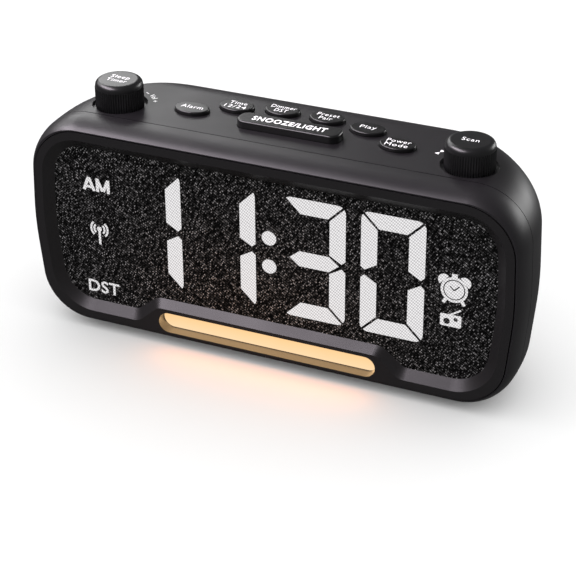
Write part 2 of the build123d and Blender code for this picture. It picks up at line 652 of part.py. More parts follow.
def sockets():
    """Power inlet, charging socket and the bush where the wire aerial would leave."""
    base = PORT_BOARD_Z + BOARD
    width, jack_front, height = DC_BODY
    collar, bore, pin = DC_MOUTH
    jack = block(DC_X - width / 2, DC_X + width / 2, jack_front, INNER_BACK, base, base + height)
    jack += rod(DC_X, PORT_Z, collar, INNER_BACK, BACK_Y - 0.5)
    jack -= rod(DC_X, PORT_Z, bore, jack_front + 2.0, BACK_Y + 1)
    jack += rod(DC_X, PORT_Z, pin, jack_front + 1.5, BACK_Y - 1.5)
    usb_front = 18.5
    shell = Pos(USB_X, USB_Z) * RectangleRounded(*USB_SIZE, 1.6)
    hollow = Pos(USB_X, USB_Z) * RectangleRounded(*USB_HOLLOW, 1.25)
    usb = plate(shell, usb_front, BACK_Y - 0.4) - plate(hollow, usb_front + 1, BACK_Y + 1)
    usb += block(USB_X - 3.3, USB_X + 3.3, usb_front + 0.5, BACK_Y - 2.0, USB_Z - 0.35, USB_Z + 0.35)
    rim_y = BACK_Y - 0.7
    bush = rod(AERIAL_X, AERIAL_Z, 2.9, INNER_BACK, rim_y)
    bush += rod(AERIAL_X, AERIAL_Z, 4.0, rim_y, BACK_Y)
    bush += rod(AERIAL_X, AERIAL_Z, 3.7, INNER_BACK - 1.0, INNER_BACK)
    bush -= rod(AERIAL_X, AERIAL_Z, 0.8, BACK_Y - 5, BACK_Y + 2)
    return {"dc_jack": jack, "usb_port": usb, "aerial_bush": bush}


def ribbons():
    """Flat ribbon cables from the display board and the key board to the main board."""
    start = FABRIC_Y + FABRIC_THICKNESS + PANEL_THICKNESS + REFLECTOR_DEPTH + BOARD
    points = [(start, 34), (-8, 34), (-4, 30), (MAIN_BOARD_Y, 30)]
    display = ribbon(points, *DISPLAY_RIBBON_X)
    key_back = KEY_RIBBON_Y + RIBBON
    key = block(*KEY_RIBBON_X, KEY_RIBBON_Y, key_back, KEY_RIBBON_LOW, KEY_BOARD_TOP - BOARD)
    key += block(*KEY_RIBBON_X, key_back, MAIN_BOARD_Y, KEY_RIBBON_LOW, KEY_RIBBON_LOW + RIBBON)
    return {"display_ribbon": display, "key_ribbon": key}


def ribbon(points, x0, x1):
    """Ribbon whose upper side follows (y, z) points."""
    lower = [(y, z - RIBBON) for y, z in reversed(points)]
    face = make_face(Polyline(points + lower, close=True))
    side = Plane(origin=(x0, 0, 0), x_dir=(0, 1, 0), z_dir=(1, 0, 0))
    return extrude(side * face, amount=x1 - x0)


def feet():
    pads = []
    for x, y in FEET:
        pad = post(x, y, FOOT_RADIUS, 0, FOOT_SEAT)
        pads.append(fillet(pad.edges().group_by(Axis.Z)[0], FOOT_ROUND))
    return Compound(pads)


def deck_cuts():
    """Openings in the deck for the keys, the snooze bar and the knobs."""
    low = DECK_Z - 6
    cuts = [slab(Pos(x, y) * key_shape(KEY_GAP), low, DECK_Z + 1) for x, y in KEYS.values()]
    cuts.append(slab(Pos(0, SNOOZE_Y) * snooze_shape(KEY_GAP), low, DECK_Z + 1))
    for x in KNOBS.values():
        cuts.append(post(x, KNOB_Y, RECESS_RADIUS, DECK_Z - RECESS_DEPTH, DECK_Z + 1))
        cuts.append(post(x, KNOB_Y, SHAFT_RADIUS + 0.6, low, DECK_Z + 1))
    return cuts


def back_cuts():
    """Speaker slots, socket holes, screw holes, foot seats and the battery opening."""
    cuts = []
    for side in (-1, 1):
        for row in range(GRILLE_ROWS):
            rise = GRILLE_PITCH * (row - (GRILLE_ROWS - 1) / 2)
            length = 2 * sqrt(GRILLE_REACH ** 2 - rise ** 2)
            slot = Pos(side * SPEAKER_X, SPEAKER_Z + rise) * SlotOverall(length, GRILLE_SLOT)
            cuts.append(plate(slot, BACK_Y - 8, BACK_Y + 1))
        for dx, dz in speaker_corners():
            cuts.append(rod(side * SPEAKER_X + dx, SPEAKER_Z + dz, 1.05, BACK_Y - 5, BACK_Y - 0.7))
        cuts.append(post(side * CASE_SCREW_X, CASE_SCREW_Y, 1.5, 0, HOLDER_LOW + 2))
        cuts.append(post(side * CASE_SCREW_X, CASE_SCREW_Y, 3.0, 0, CASE_SCREW_SEAT))
    through = (BACK_Y - 4, BACK_Y + 1)
    cuts.append(rod(DC_X, PORT_Z, DC_MOUTH[0] + 0.3, *through))
    width, height = USB_SIZE
    cuts.append(plate(Pos(USB_X, USB_Z) * RectangleRounded(width + 0.66, height + 0.64, 1.9), *through))
    cuts.append(rod(AERIAL_X, AERIAL_Z, 3.0, *through))
    cuts.append(rod(AERIAL_X, AERIAL_Z, 4.1, BACK_Y - 0.75, BACK_Y + 1))
    cuts += [post(x, y, FOOT_RADIUS + 0.1, 0, FOOT_SEAT) for x, y in FEET]
    width, depth, corner = BATTERY_DOOR
    seat = RectangleRounded(width + 0.4, depth + 0.4, corner + 0.2)
    cuts.append(slab(Pos(0, BATTERY_DOOR_Y) * seat, 0, BOTTOM_Z + 1.5))
    cuts.append(post(0, 0, CELL_RADIUS + 0.6, 0, HOLDER_LOW + 2))
    cuts.append(post(0, BATTERY_SCREW_Y, 0.95, 0, HOLDER_LOW + 2))
    return cuts


def rear_housing():
    """Deck, sides, bottom and back in one shell, with a tongue that enters the front shell."""
    start = SEAM_Y + SEAM_GAP / 2
    shell = rear_loft(start, BACK_Y, 0.0) - rear_loft(start, BACK_Y - WALL, WALL)
    ring = body_outline(HALF_WIDTH, DECK_Z, BOTTOM_Z, TONGUE_INSET + 0.1)
    ring -= body_outline(HALF_WIDTH, DECK_Z, BOTTOM_Z, WALL - 0.3)
    shell += plate(ring, SEAM_Y - TONGUE_REACH, SEAM_Y + 1)
    for x in KNOBS.values():
        shell += post(x, KNOB_Y, RECESS_RADIUS + 1.6, DECK_Z - RECESS_DEPTH - 1.8, DECK_Z - WALL + 0.1)
    for x, y in key_bosses():
        shell += post(x, y, BOSS_RADIUS, KEY_BOARD_TOP, DECK_Z - WALL + 0.2)
    within = rear_loft(start, BACK_Y - 0.5, 0.8)
    for x, z in main_bosses():
        shell += rod(x, z, BOSS_RADIUS, MAIN_BOARD_Y + BOARD, BACK_Y - WALL + 0.2) & within
    shell -= deck_cuts() + back_cuts()
    pilot_depth = 7.0
    for x, y in key_bosses():
        shell -= post(x, y, PILOT, KEY_BOARD_TOP - 1, KEY_BOARD_TOP + pilot_depth)
    for x, z in main_bosses():
        shell -= rod(x, z, PILOT, MAIN_BOARD_Y, MAIN_BOARD_Y + BOARD + pilot_depth)
    return shell


def write(name, shape):
    export_step(shape, f"parts/{name}.step")


def main():
    os.makedirs("parts", exist_ok=True)
    write("front_shell", front_shell())
    write("bezel_frame", bezel_frame())
    write("rear_housing", rear_housing())
    groups = [display_parts(), light_bar(), key_board_parts(), main_board_parts(), fixings(),
              battery_parts(), sockets(), ribbons(), {"rubber_feet": feet()}]
    for group in groups:
        for name, shape in group.items():
            write(name, shape)
    for name, (x, y) in KEYS.items():
        write(name, key_cap(x, y))
    write("snooze_bar", snooze_bar())
    for name, x in KNOBS.items():
        write(f"{name}_knob", knob(x))
        for piece, shape in encoder(x).items():
            write(f"{name}_{piece}", shape)
    for side, x in (("left", -SPEAKER_X), ("right", SPEAKER_X)):
        for piece, shape in speaker(x).items():
            write(f"{side}_{piece}", shape)


main()
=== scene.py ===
"""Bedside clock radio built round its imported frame: cloth front, lit display, printed marks, finishes, light
and camera."""

import json
import math

import bmesh
import bpy
from mathutils import Matrix, Vector

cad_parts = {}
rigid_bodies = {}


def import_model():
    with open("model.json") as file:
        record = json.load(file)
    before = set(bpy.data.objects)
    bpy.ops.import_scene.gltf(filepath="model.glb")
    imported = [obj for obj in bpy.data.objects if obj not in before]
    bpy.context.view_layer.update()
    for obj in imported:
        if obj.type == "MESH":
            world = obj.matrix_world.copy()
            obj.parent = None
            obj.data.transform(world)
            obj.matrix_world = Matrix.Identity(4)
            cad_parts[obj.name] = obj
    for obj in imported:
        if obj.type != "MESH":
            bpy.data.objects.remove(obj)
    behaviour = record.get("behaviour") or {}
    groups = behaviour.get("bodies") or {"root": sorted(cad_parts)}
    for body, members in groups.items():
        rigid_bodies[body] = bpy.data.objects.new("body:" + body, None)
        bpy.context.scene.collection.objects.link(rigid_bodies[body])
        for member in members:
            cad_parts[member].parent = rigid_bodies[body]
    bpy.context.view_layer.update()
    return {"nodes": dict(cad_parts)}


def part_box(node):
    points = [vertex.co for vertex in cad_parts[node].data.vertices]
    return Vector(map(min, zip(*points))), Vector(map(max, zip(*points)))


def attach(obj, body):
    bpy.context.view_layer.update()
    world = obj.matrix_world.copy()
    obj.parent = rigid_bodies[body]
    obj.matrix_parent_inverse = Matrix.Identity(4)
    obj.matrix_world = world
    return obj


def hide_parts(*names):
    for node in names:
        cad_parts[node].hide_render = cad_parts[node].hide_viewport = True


MM = 0.001
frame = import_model()
scene = bpy.context.scene
scene.view_settings.view_transform = "Standard"


# ---------------------------------------------------------------- helpers for shaders


def paint(code):
    """An sRGB hex code as the linear colour that a shader socket takes."""
    parts = [int(code[i : i + 2], 16) / 255 for i in (1, 3, 5)]
    return tuple(c / 12.92 if c <= 0.04045 else ((c + 0.055) / 1.055) ** 2.4 for c in parts) + (1.0,)


# places of a colour Mix node's sockets: how much of the second colour, the two colours and the result
AMOUNT, FIRST, SECOND, MIXED = 0, 6, 7, 2


def feed(tree, fed, links):
    """Links sockets to a node's inputs, given by name or number."""
    for name, socket in links.items():
        tree.links.new(socket, fed.inputs[name])


def node(tree, kind, settings=None, inputs=None, links=None, stops=None):
    """Adds a node: its own settings, its unlinked inputs, the sockets that feed it and a ramp's stops."""
    new = tree.nodes.new(kind)
    for name, value in (settings or {}).items():
        setattr(new, name, value)
    for name, value in (inputs or {}).items():
        new.inputs[name].default_value = value
    feed(tree, new, links or {})
    for i, (place, colour) in enumerate(stops or ()):
        ramp = new.color_ramp.elements
        stop = ramp[i] if i < len(ramp) else ramp.new(place)
        stop.position, stop.color = place, colour
    return new


def finish(name, **values):
    """A named material with its Principled shader, and the object's own coordinates for its patterns."""
    material = bpy.data.materials.new(name)
    material.use_nodes = True
    tree = material.node_tree
    tree.nodes.clear()
    shader = node(tree, "ShaderNodeBsdfPrincipled", inputs=values)
    node(tree, "ShaderNodeOutputMaterial", links={"Surface": shader.outputs[0]})
    return material, tree, shader, node(tree, "ShaderNodeTexCoord").outputs["Object"]


def grey(value):
    """A linear grey."""
    return (value, value, value, 1.0)


# ---------------------------------------------------------------- finishes


COOLING_PATCH = 22.0  # mm over which a moulding's gloss wanders


def moulded(name, deep, lift, roughness, grain, relief, ior=1.53):
    """Injection-moulded plastic. Its tool was spark-eroded, so the skin is an even satin with a fine pebble
    that breaks up highlights, and the gloss wanders a little where thick and thin walls cooled differently.
    grain and relief are the pebble's width and height in millimetres."""
    material, tree, shader, place = finish(name, IOR=ior)
    pebble = node(tree, "ShaderNodeTexNoise",
                  inputs={"Scale": 1 / (grain * MM), "Detail": 3.0, "Roughness": 0.62},
                  links={"Vector": place})
    cloud = node(tree, "ShaderNodeTexNoise", inputs={"Scale": 1 / (COOLING_PATCH * MM), "Detail": 2.0},
                 links={"Vector": place})
    tone = node(tree, "ShaderNodeMix", {"data_type": "RGBA"}, {FIRST: paint(deep), SECOND: paint(lift)},
                {AMOUNT: pebble.outputs[0]})
    gloss = node(tree, "ShaderNodeMapRange",
                 inputs={"From Min": 0.3, "From Max": 0.7,
                         "To Min": roughness - 0.03, "To Max": roughness + 0.04},
                 links={"Value": cloud.outputs[0]})
    bump = node(tree, "ShaderNodeBump", inputs={"Strength": 0.5, "Distance": relief * MM},
                links={"Height": pebble.outputs[0]})
    feed(tree, shader, {"Base Color": tone.outputs[MIXED], "Roughness": gloss.outputs[0],
                        "Normal": bump.outputs[0]})
    return material


STREAK_LENGTH = 12  # how many times longer than wide a rolling line is drawn


def metal(name, dark, bright, roughness, line, relief):
    """Plated or bare sheet metal: fine rolling lines run one way, so the gloss is streaked along them.
    line and relief are the width and height of the rolling lines in millimetres."""
    material, tree, shader, place = finish(name, Metallic=1.0)
    along = node(tree, "ShaderNodeMapping", {"vector_type": "TEXTURE"},
                 {"Scale": (STREAK_LENGTH * line * MM, line * MM, line * MM)}, {"Vector": place})
    streak = node(tree, "ShaderNodeTexNoise", inputs={"Scale": 1.0, "Detail": 2.0},
                  links={"Vector": along.outputs[0]})
    tone = node(tree, "ShaderNodeMix", {"data_type": "RGBA"}, {FIRST: paint(dark), SECOND: paint(bright)},
                {AMOUNT: streak.outputs[0]})
    gloss = node(tree, "ShaderNodeMapRange", inputs={"To Min": roughness - 0.06, "To Max": roughness + 0.08},
                 links={"Value": streak.outputs[0]})
    bump = node(tree, "ShaderNodeBump", inputs={"Strength": 0.4, "Distance": relief * MM},
                links={"Height": streak.outputs[0]})
    feed(tree, shader, {"Base Color": tone.outputs[MIXED], "Roughness": gloss.outputs[0],
                        "Normal": bump.outputs[0]})
    return material


TWILL_LEAN = 58.0  # degrees that the cloth's twill line leans from level


def yarn_cells(tree, place, long, short, wander):
    """Cells of woven yarn on the front plane: each is one float of yarn, long by short millimetres, lying
    along the twill line. wander is how far the floats stray from even rows, from 0 to 1."""
    axes = node(tree, "ShaderNodeSeparateXYZ", links={0: place})
    plane = node(tree, "ShaderNodeCombineXYZ", links={0: axes.outputs[0], 1: axes.outputs[2]})
    twill = node(tree, "ShaderNodeMapping", {"vector_type": "TEXTURE"},
                 {"Rotation": (0.0, 0.0, math.radians(TWILL_LEAN)), "Scale": (long * MM, short * MM, 1.0)},
                 {"Vector": plane.outputs[0]})
    return node(tree, "ShaderNodeTexVoronoi", {"voronoi_dimensions": "2D"},
                {"Scale": 1.0, "Randomness": wander}, {"Vector": twill.outputs[0]})


def speaker_cloth():
    """Melange polyester twill: black warp with grey floats scattered through it, matt, with each float
    standing up as a short rounded stitch. The real yarn is about 0.4 mm; the floats are drawn at 0.9 mm by
    0.46 mm so that they show."""
    material, tree, shader, place = finish("black_melange_polyester_twill", Roughness=0.8,
                                           **{"Specular IOR Level": 0.03})
    floats = yarn_cells(tree, place, long=0.9, short=0.46, wander=0.22)
    pick = node(tree, "ShaderNodeSeparateColor", links={0: floats.outputs["Color"]})
    shade = node(tree, "ShaderNodeValToRGB", links={0: pick.outputs[0]},
                 stops=[(0.0, grey(0.0)), (0.25, grey(0.004)), (0.6, grey(0.022)), (0.85, grey(0.075)),
                        (1.0, grey(0.2))])
    round_top = node(tree, "ShaderNodeValToRGB", links={0: floats.outputs["Distance"]},
                     stops=[(0.15, grey(1.0)), (0.48, grey(0.0))])
    tone = node(tree, "ShaderNodeMix", {"data_type": "RGBA"}, {FIRST: grey(0.001)},
                {AMOUNT: round_top.outputs[0], SECOND: shade.outputs[0]})
    bump = node(tree, "ShaderNodeBump", inputs={"Strength": 0.5, "Distance": 0.08 * MM},
                links={"Height": round_top.outputs[0]})
    feed(tree, shader, {"Base Color": tone.outputs[MIXED], "Normal": bump.outputs[0]})
    return material


def light_through_cloth():
    """White light from the display coming through the twill: even and bright, with a faint darker line
    between the yarns. They are drawn larger than the real yarn of about 0.4 mm, so that they show."""
    material, tree, shader, place = finish("white_light_through_twill", Roughness=0.8,
                                           **{"Base Color": grey(0.05), "Emission Strength": 1.0})
    floats = yarn_cells(tree, place, long=0.95, short=0.7, wander=0.1)
    shine = node(tree, "ShaderNodeValToRGB", links={0: floats.outputs["Distance"]},
                 stops=[(0.2, paint("#f4f3f4")), (0.6, paint("#9c9b9c"))])
    feed(tree, shader, {"Emission Color": shine.outputs[0]})
    return material


MIST_SIZE = 9.0  # mm across the soft patches in the opal bar's glow
MIST_SHARE = 0.12  # and how much they shift it, as a part of the bar's height


def opal_bar():
    """Opal acrylic light bar, lit from behind by warm white lamps: an even creamy glow, with painted shade that
    makes it a touch deeper along its upper edge, where the wall of the slot would shade it."""
    low, high = (corner.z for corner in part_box("light_bar_diffuser"))
    material, tree, shader, place = finish("warm_lit_opal_acrylic", Roughness=0.35, IOR=1.49,
                                           **{"Base Color": paint("#30261a"), "Emission Strength": 1.0})
    axes = node(tree, "ShaderNodeSeparateXYZ", links={0: place})
    height = node(tree, "ShaderNodeMapRange", inputs={"From Min": low, "From Max": high},
                  links={"Value": axes.outputs[2]})
    mist = node(tree, "ShaderNodeTexNoise", inputs={"Scale": 1 / (MIST_SIZE * MM), "Detail": 1.0},
                links={"Vector": place})
    drift = node(tree, "ShaderNodeMath", {"operation": "MULTIPLY_ADD"}, {1: MIST_SHARE},
                 {0: mist.outputs[0], 2: height.outputs[0]})
    # painted shade: the glow's colour deepens towards the top of the bar, where the slot's wall would shade it
    shine = node(tree, "ShaderNodeValToRGB", links={0: drift.outputs[0]},
                 stops=[(0.12, paint("#ffdcae")), (0.55, paint("#ffd49c")), (0.95, paint("#fcc880"))])
    feed(tree, shader, {"Emission Color": shine.outputs[0]})
    return material


TRACK_GRID = 9.0  # mm; one cell of the track pattern is half this long and a quarter of it high
GLASS_WEAVE = 0.6  # mm across the bumps that the glass weave leaves


def circuit_laminate():
    """Glass-epoxy circuit board under green solder mask: semi-gloss, with copper tracks showing as paler
    lines and a faint glass weave."""
    material, tree, shader, place = finish("green_masked_glass_epoxy", Roughness=0.38, IOR=1.55)
    tracks = node(tree, "ShaderNodeTexBrick",
                  inputs={"Scale": 1 / (TRACK_GRID * MM), "Mortar Size": 0.018, "Color1": paint("#0f3d22"),
                          "Color2": paint("#124527"), "Mortar": paint("#2c6b41")}, links={"Vector": place})
    weave = node(tree, "ShaderNodeTexNoise", inputs={"Scale": 1 / (GLASS_WEAVE * MM)},
                 links={"Vector": place})
    bump = node(tree, "ShaderNodeBump", inputs={"Strength": 0.4, "Distance": 0.03 * MM},
                links={"Height": weave.outputs[0]})
    feed(tree, shader, {"Base Color": tracks.outputs[0], "Normal": bump.outputs[0]})
    return material


CORE_WAVE = 6.3  # mm of wave texture, which holds a little over three waves


def ribbon_cable():
    """Grey PVC ribbon cable: parallel cores show as soft ridges 2 mm apart, drawn coarser than real ones so
    that they show."""
    material, tree, shader, place = finish("grey_pvc_ribbon", Roughness=0.5, IOR=1.54)
    cores = node(tree, "ShaderNodeTexWave", {"bands_direction": "X"},
                 {"Scale": 1 / (CORE_WAVE * MM), "Distortion": 0.0}, {"Vector": place})
    tone = node(tree, "ShaderNodeMix", {"data_type": "RGBA"},
                {FIRST: paint("#6f7276"), SECOND: paint("#9b9ea1")}, {AMOUNT: cores.outputs[0]})
    bump = node(tree, "ShaderNodeBump", inputs={"Strength": 0.6, "Distance": 0.2 * MM},
                links={"Height": cores.outputs[0]})
    feed(tree, shader, {"Base Color": tone.outputs[MIXED], "Normal": bump.outputs[0]})
    return material


INK_MOTTLE = 0.4  # mm across the ink's uneven spots


def pad_print():
    """White pad-printing ink: a thin matt film, very slightly uneven in density."""
    material, tree, shader, place = finish("white_pad_print_ink", Roughness=0.55)
    film = node(tree, "ShaderNodeTexNoise", inputs={"Scale": 1 / (INK_MOTTLE * MM)}, links={"Vector": place})
    tone = node(tree, "ShaderNodeMix", {"data_type": "RGBA"},
                {FIRST: paint("#dcdcdc"), SECOND: paint("#fafafa")}, {AMOUNT: film.outputs[0]})
    feed(tree, shader, {"Base Color": tone.outputs[MIXED]})
    return material


def paper_floor():
    """Matt white studio sweep."""
    return finish("matt_white_studio_sweep", Roughness=1.0,
                  **{"Base Color": grey(0.985), "Specular IOR Level": 0.0})[0]


cloth = speaker_cloth()
lit = light_through_cloth()
ink = pad_print()

# Each record slot's finish. After its name a plastic has its deep and lifted tone, its roughness, and its
# pebble's width and height in millimetres. A metal has its dark and bright tone, its roughness, and its rolling
# lines' width and height.
FINISHES = {
    "shell_plastic": moulded("satin_black_abs_shell", "#110f12", "#171518", 0.40, 0.30, 0.008),
    "frame_plastic": moulded("satin_black_abs_frame", "#111011", "#171617", 0.36, 0.26, 0.007, ior=1.4),
    "key_plastic": moulded("matt_black_abs_keys", "#090909", "#0e0e0f", 0.30, 0.24, 0.008),
    "knob_plastic": moulded("satin_black_abs_knobs", "#0d0d0e", "#121213", 0.34, 0.24, 0.007),
    "grille_cloth": cloth,
    "smoked_panel": moulded("smoked_polycarbonate", "#0b0b0c", "#101011", 0.15, 0.8, 0.002, ior=1.58),
    "lit_white": lit,
    "lit_warm": opal_bar(),
    "reflector_white": moulded("white_polycarbonate_reflector", "#dcdcd8", "#eeeeea", 0.35, 0.5, 0.006),
    "circuit_board": circuit_laminate(),
    "chip_black": moulded("black_epoxy_chip_cases", "#131313", "#1f1f1f", 0.55, 0.2, 0.01, ior=1.55),
    "lamp_chip": moulded("phosphor_lamp_faces", "#d9c36a", "#efe08f", 0.3, 0.3, 0.01, ior=1.5),
    "bright_metal": metal("nickel_plated_steel", "#8f8c86", "#c9c6be", 0.28, 0.25, 0.004),
    "dark_screw": metal("black_zinc_screws", "#17171a", "#2c2c31", 0.42, 0.3, 0.006),
    "magnet_metal": metal("zinc_plated_magnet_cups", "#7f8486", "#b4b8ba", 0.35, 0.3, 0.006),
    "cone_paper": moulded("black_pulp_paper_cones", "#141414", "#232323", 0.8, 0.7, 0.06, ior=1.45),
    "soft_rubber": moulded("soft_black_rubber", "#101011", "#1b1b1c", 0.62, 0.5, 0.02, ior=1.5),
    "cell_steel": metal("stainless_cell_can", "#8b8d90", "#c4c6c8", 0.25, 0.2, 0.003),
    "ribbon_grey": ribbon_cable(),
    "holder_plastic": moulded("natural_black_pbt_holder", "#1a1a1b", "#262627", 0.5, 0.4, 0.012, ior=1.55),
}
for cad_node in frame["nodes"].values():
    for row in cad_node.material_slots:
        row.material = FINISHES[row.material.name.split(".")[0]]


# ---------------------------------------------------------------- helpers for pieces


def piece(name, bm, material, body, smooth=False):
    """Turns a bmesh in millimetres into a finished piece that rides on a body."""
    bm.transform(Matrix.Scale(MM, 4))
    mesh = bpy.data.meshes.new(name)
    bm.to_mesh(mesh)
    bm.free()
    mesh.materials.append(material)
    for face in mesh.polygons:
        face.use_smooth = smooth
    made = bpy.data.objects.new(name, mesh)
    scene.collection.objects.link(made)
    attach(made, body)
    return made


FRONT_PLANE = Matrix.Rotation(math.pi / 2, 4, "X")  # stands a shape drawn flat up on the front plane
LAID_FLAT = Matrix.Rotation(-math.pi / 2, 4, "X")  # and lays one on the front plane down flat


def flat_face(bm, corners, rounding=0.0, segments=6):
    """A flat face on the front plane from its (x, z) corners, with every corner rounded alike."""
    spots = [bm.verts.new((x, 0.0, z)) for x, z in corners]
    bm.faces.new(spots)
    if rounding:
        bmesh.ops.bevel(bm, geom=spots, offset=rounding, offset_type="OFFSET", segments=segments, profile=0.5,
                        affect="VERTICES", material=-1)


def disc(bm, x, z, radius, inner=0.0, segments=40):
    """A flat disc on the front plane, or a ring if it has an inner radius."""
    rim = bmesh.ops.create_circle(bm, cap_ends=True, radius=radius, segments=segments,
                                  matrix=Matrix.Translation((x, 0, z)) @ FRONT_PLANE)
    if inner:
        face = rim["verts"][0].link_faces[0]
        bmesh.ops.inset_individual(bm, faces=[face], thickness=radius - inner)
        bmesh.ops.delete(bm, geom=[face], context="FACES")


def trim(bm, point, outward):
    """Cuts away what lies beyond a straight line through point, on the side that outward (x, z) points to."""
    bmesh.ops.bisect_plane(bm, geom=bm.verts[:] + bm.edges[:] + bm.faces[:], plane_co=(point[0], 0, point[1]),
                           plane_no=(outward[0], 0, outward[1]), clear_outer=True)


def merge_in(bm, other, matrix=None):
    """Adds another bmesh's shape, moved by a matrix."""
    if matrix is not None:
        other.transform(matrix)
    holder = bpy.data.meshes.new("holder")
    other.to_mesh(holder)
    other.free()
    bm.from_mesh(holder)
    bpy.data.meshes.remove(holder)


def thicken(bm, depth):
    """Gives flat faces on the front plane a depth towards +Y, with their front where it was and their normals
    outward."""
    faces = bm.faces[:]
    bmesh.ops.recalc_face_normals(bm, faces=faces)
    for face in faces:
        if face.normal.y > 0:
            face.normal_flip()
    back = bmesh.ops.extrude_face_region(bm, geom=faces, use_keep_orig=True)
    moved = [v for v in back["geom"] if isinstance(v, bmesh.types.BMVert)]
    bmesh.ops.translate(bm, verts=moved, vec=(0, depth, 0))
    bmesh.ops.recalc_face_normals(bm, faces=bm.faces[:])


# ---------------------------------------------------------------- cloth front

CLOTH_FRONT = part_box("grille_fabric")[0].y / MM
CLOTH_DEPTH = 0.3
CLOTH_SQUARE = 1.6  # side of the squares that the sheet is cut into
CLOTH_SPANS = ((0, -86.0, 86.0), (2, 8.0, 80.0))  # axis, and the first and last cut along it
CLOTH_SAG = 0.02


def cloth_front():
    """The cloth is cut to the opening and drawn flat over the display panel: one sheet, in squares fine
    enough for its very slight sag, with its edge tucked behind the frame."""
    source = frame["nodes"]["grille_fabric"]
    bm = bmesh.new()
    bm.from_mesh(source.data)
    bmesh.ops.remove_doubles(bm, verts=bm.verts[:], dist=0.005 * MM)
    bm.transform(Matrix.Scale(1 / MM, 4))
    front = [f for f in bm.faces if f.normal.y < -0.9 and f.calc_center_median().y < CLOTH_FRONT + 0.05]
    bmesh.ops.delete(bm, geom=[f for f in bm.faces if f not in set(front)], context="FACES")
    bmesh.ops.dissolve_faces(bm, faces=bm.faces[:])
    for axis, at, last in CLOTH_SPANS:
        while at < last:
            place, normal = Vector(), Vector()
            place[axis], normal[axis] = at, 1.0
            bmesh.ops.bisect_plane(bm, geom=bm.verts[:] + bm.edges[:] + bm.faces[:], plane_co=place,
                                   plane_no=normal)
            at += CLOTH_SQUARE
    for v in bm.verts:
        if not v.is_boundary:
            x, z = v.co.x, v.co.z
            v.co.y += CLOTH_SAG * math.sin(x * 0.9 + z * 1.3) * math.sin(z * 0.7 - x * 0.4)
    area = sum(f.calc_area() for f in bm.faces)
    made = piece("cloth_front", bm, cloth, "case", smooth=True)
    wall = made.modifiers.new("cloth_thickness", "SOLIDIFY")
    wall.thickness, wall.offset = CLOTH_DEPTH * MM, -1.0
    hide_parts("grille_fabric")


cloth_front()

# ---------------------------------------------------------------- lit display

LIT_DEPTH = 0.12
LIT_PROUD = 0.07  # the lit shapes stand this far in front of the cloth
UNLIT_PROUD = 0.03  # and the dark marks this far in front of them
DIGIT_W, DIGIT_H = 22.8, 46.0
DIGIT_LOW = 22.4  # height of the digits' lower edge
BAR_W = 5.8  # width of a lit segment
BREAK = 0.85  # dark gap between segments
CORNER = 3.0  # rounding of a digit's outer corners
WAIST_IN = 3.6  # how far a side segment's inner edge stops short of the middle
WAIST_TIP = 0.95  # and its tip
TIP_IN = 1.35  # the tip's distance from the outer edge
TIP_SLOPE = 1.1  # how steeply the side segment is cut from the tip to the outer edge
MIDDLE_IN = 2.35  # how far the middle segment's points stop short of the digit's sides
MIDDLE_SLOPE = 1.25  # how steeply they are cut
COLON_X, COLON_Z = 1.0, (50.9, 39.9)
COLON_R = 2.7
# each digit's right-hand edge and its lit segments
DIGITS = {
    "hour_tens": (-32.4, "bc"),
    "hour_units": (-4.1, "bc"),
    "minute_tens": (29.1, "abcdg"),
    "minute_units": (57.4, "abcdef"),
}


def segment(letter):
    """One of a digit's seven segments, cut out of the digit's rounded outline."""
    w, h, t, half = DIGIT_W, DIGIT_H, BAR_W, DIGIT_H / 2
    bm = bmesh.new()
    flat_face(bm, [(0, 0), (w, 0), (w, h), (0, h)], CORNER)
    slant = BREAK / 2 / math.sqrt(2)
    if letter in "ad":
        # the upper or lower bar, between two diagonal breaks
        trim(bm, (t, h - t), (0, -1))
        trim(bm, (t + slant, h - t + slant), (-1, -1))
        trim(bm, (w - t - slant, h - t + slant), (1, -1))
    elif letter == "g":
        # the middle bar, pointed at both ends
        trim(bm, (0, half + t / 2), (0, 1))
        trim(bm, (0, half - t / 2), (0, -1))
        for side in (1, -1):
            edge = w / 2 + side * (w / 2 - MIDDLE_IN)
            trim(bm, (edge, half), (side, MIDDLE_SLOPE))
            trim(bm, (edge, half), (side, -MIDDLE_SLOPE))
    else:
        # a side bar of the upper half, on the right
        trim(bm, (w - t, h), (-1, 0))
        trim(bm, (w - t + slant, h - t - slant), (-1, 1))
        run, rise = t - TIP_IN, WAIST_IN - WAIST_TIP
        trim(bm, (w - TIP_IN, half + WAIST_TIP), (-rise, -run))
        trim(bm, (w - TIP_IN, half + WAIST_TIP), (1.0, -TIP_SLOPE))
    # the same shape on the left or in the lower half
    if letter in "fe":
        bmesh.ops.scale(bm, vec=(-1, 1, 1), verts=bm.verts[:])
        bmesh.ops.translate(bm, vec=(w, 0, 0), verts=bm.verts[:])
    if letter in "dce":
        bmesh.ops.scale(bm, vec=(1, 1, -1), verts=bm.verts[:])
        bmesh.ops.translate(bm, vec=(0, 0, h), verts=bm.verts[:])
    return bm


def lit_piece(name, bm):
    """A lit shape just in front of the cloth."""
    thicken(bm, LIT_DEPTH)
    bmesh.ops.translate(bm, verts=bm.verts[:], vec=(0, CLOTH_FRONT - LIT_PROUD, 0))
    return piece(name, bm, lit, "case")


for spot, (right, letters) in DIGITS.items():
    digit = bmesh.new()
    for letter in letters:
        merge_in(digit, segment(letter), Matrix.Translation((right - DIGIT_W, 0, DIGIT_LOW)))
    lit_piece("lit_" + spot, digit)

colon = bmesh.new()
for z in COLON_Z:
    disc(colon, COLON_X, z, COLON_R)
lit_piece("lit_colon", colon)


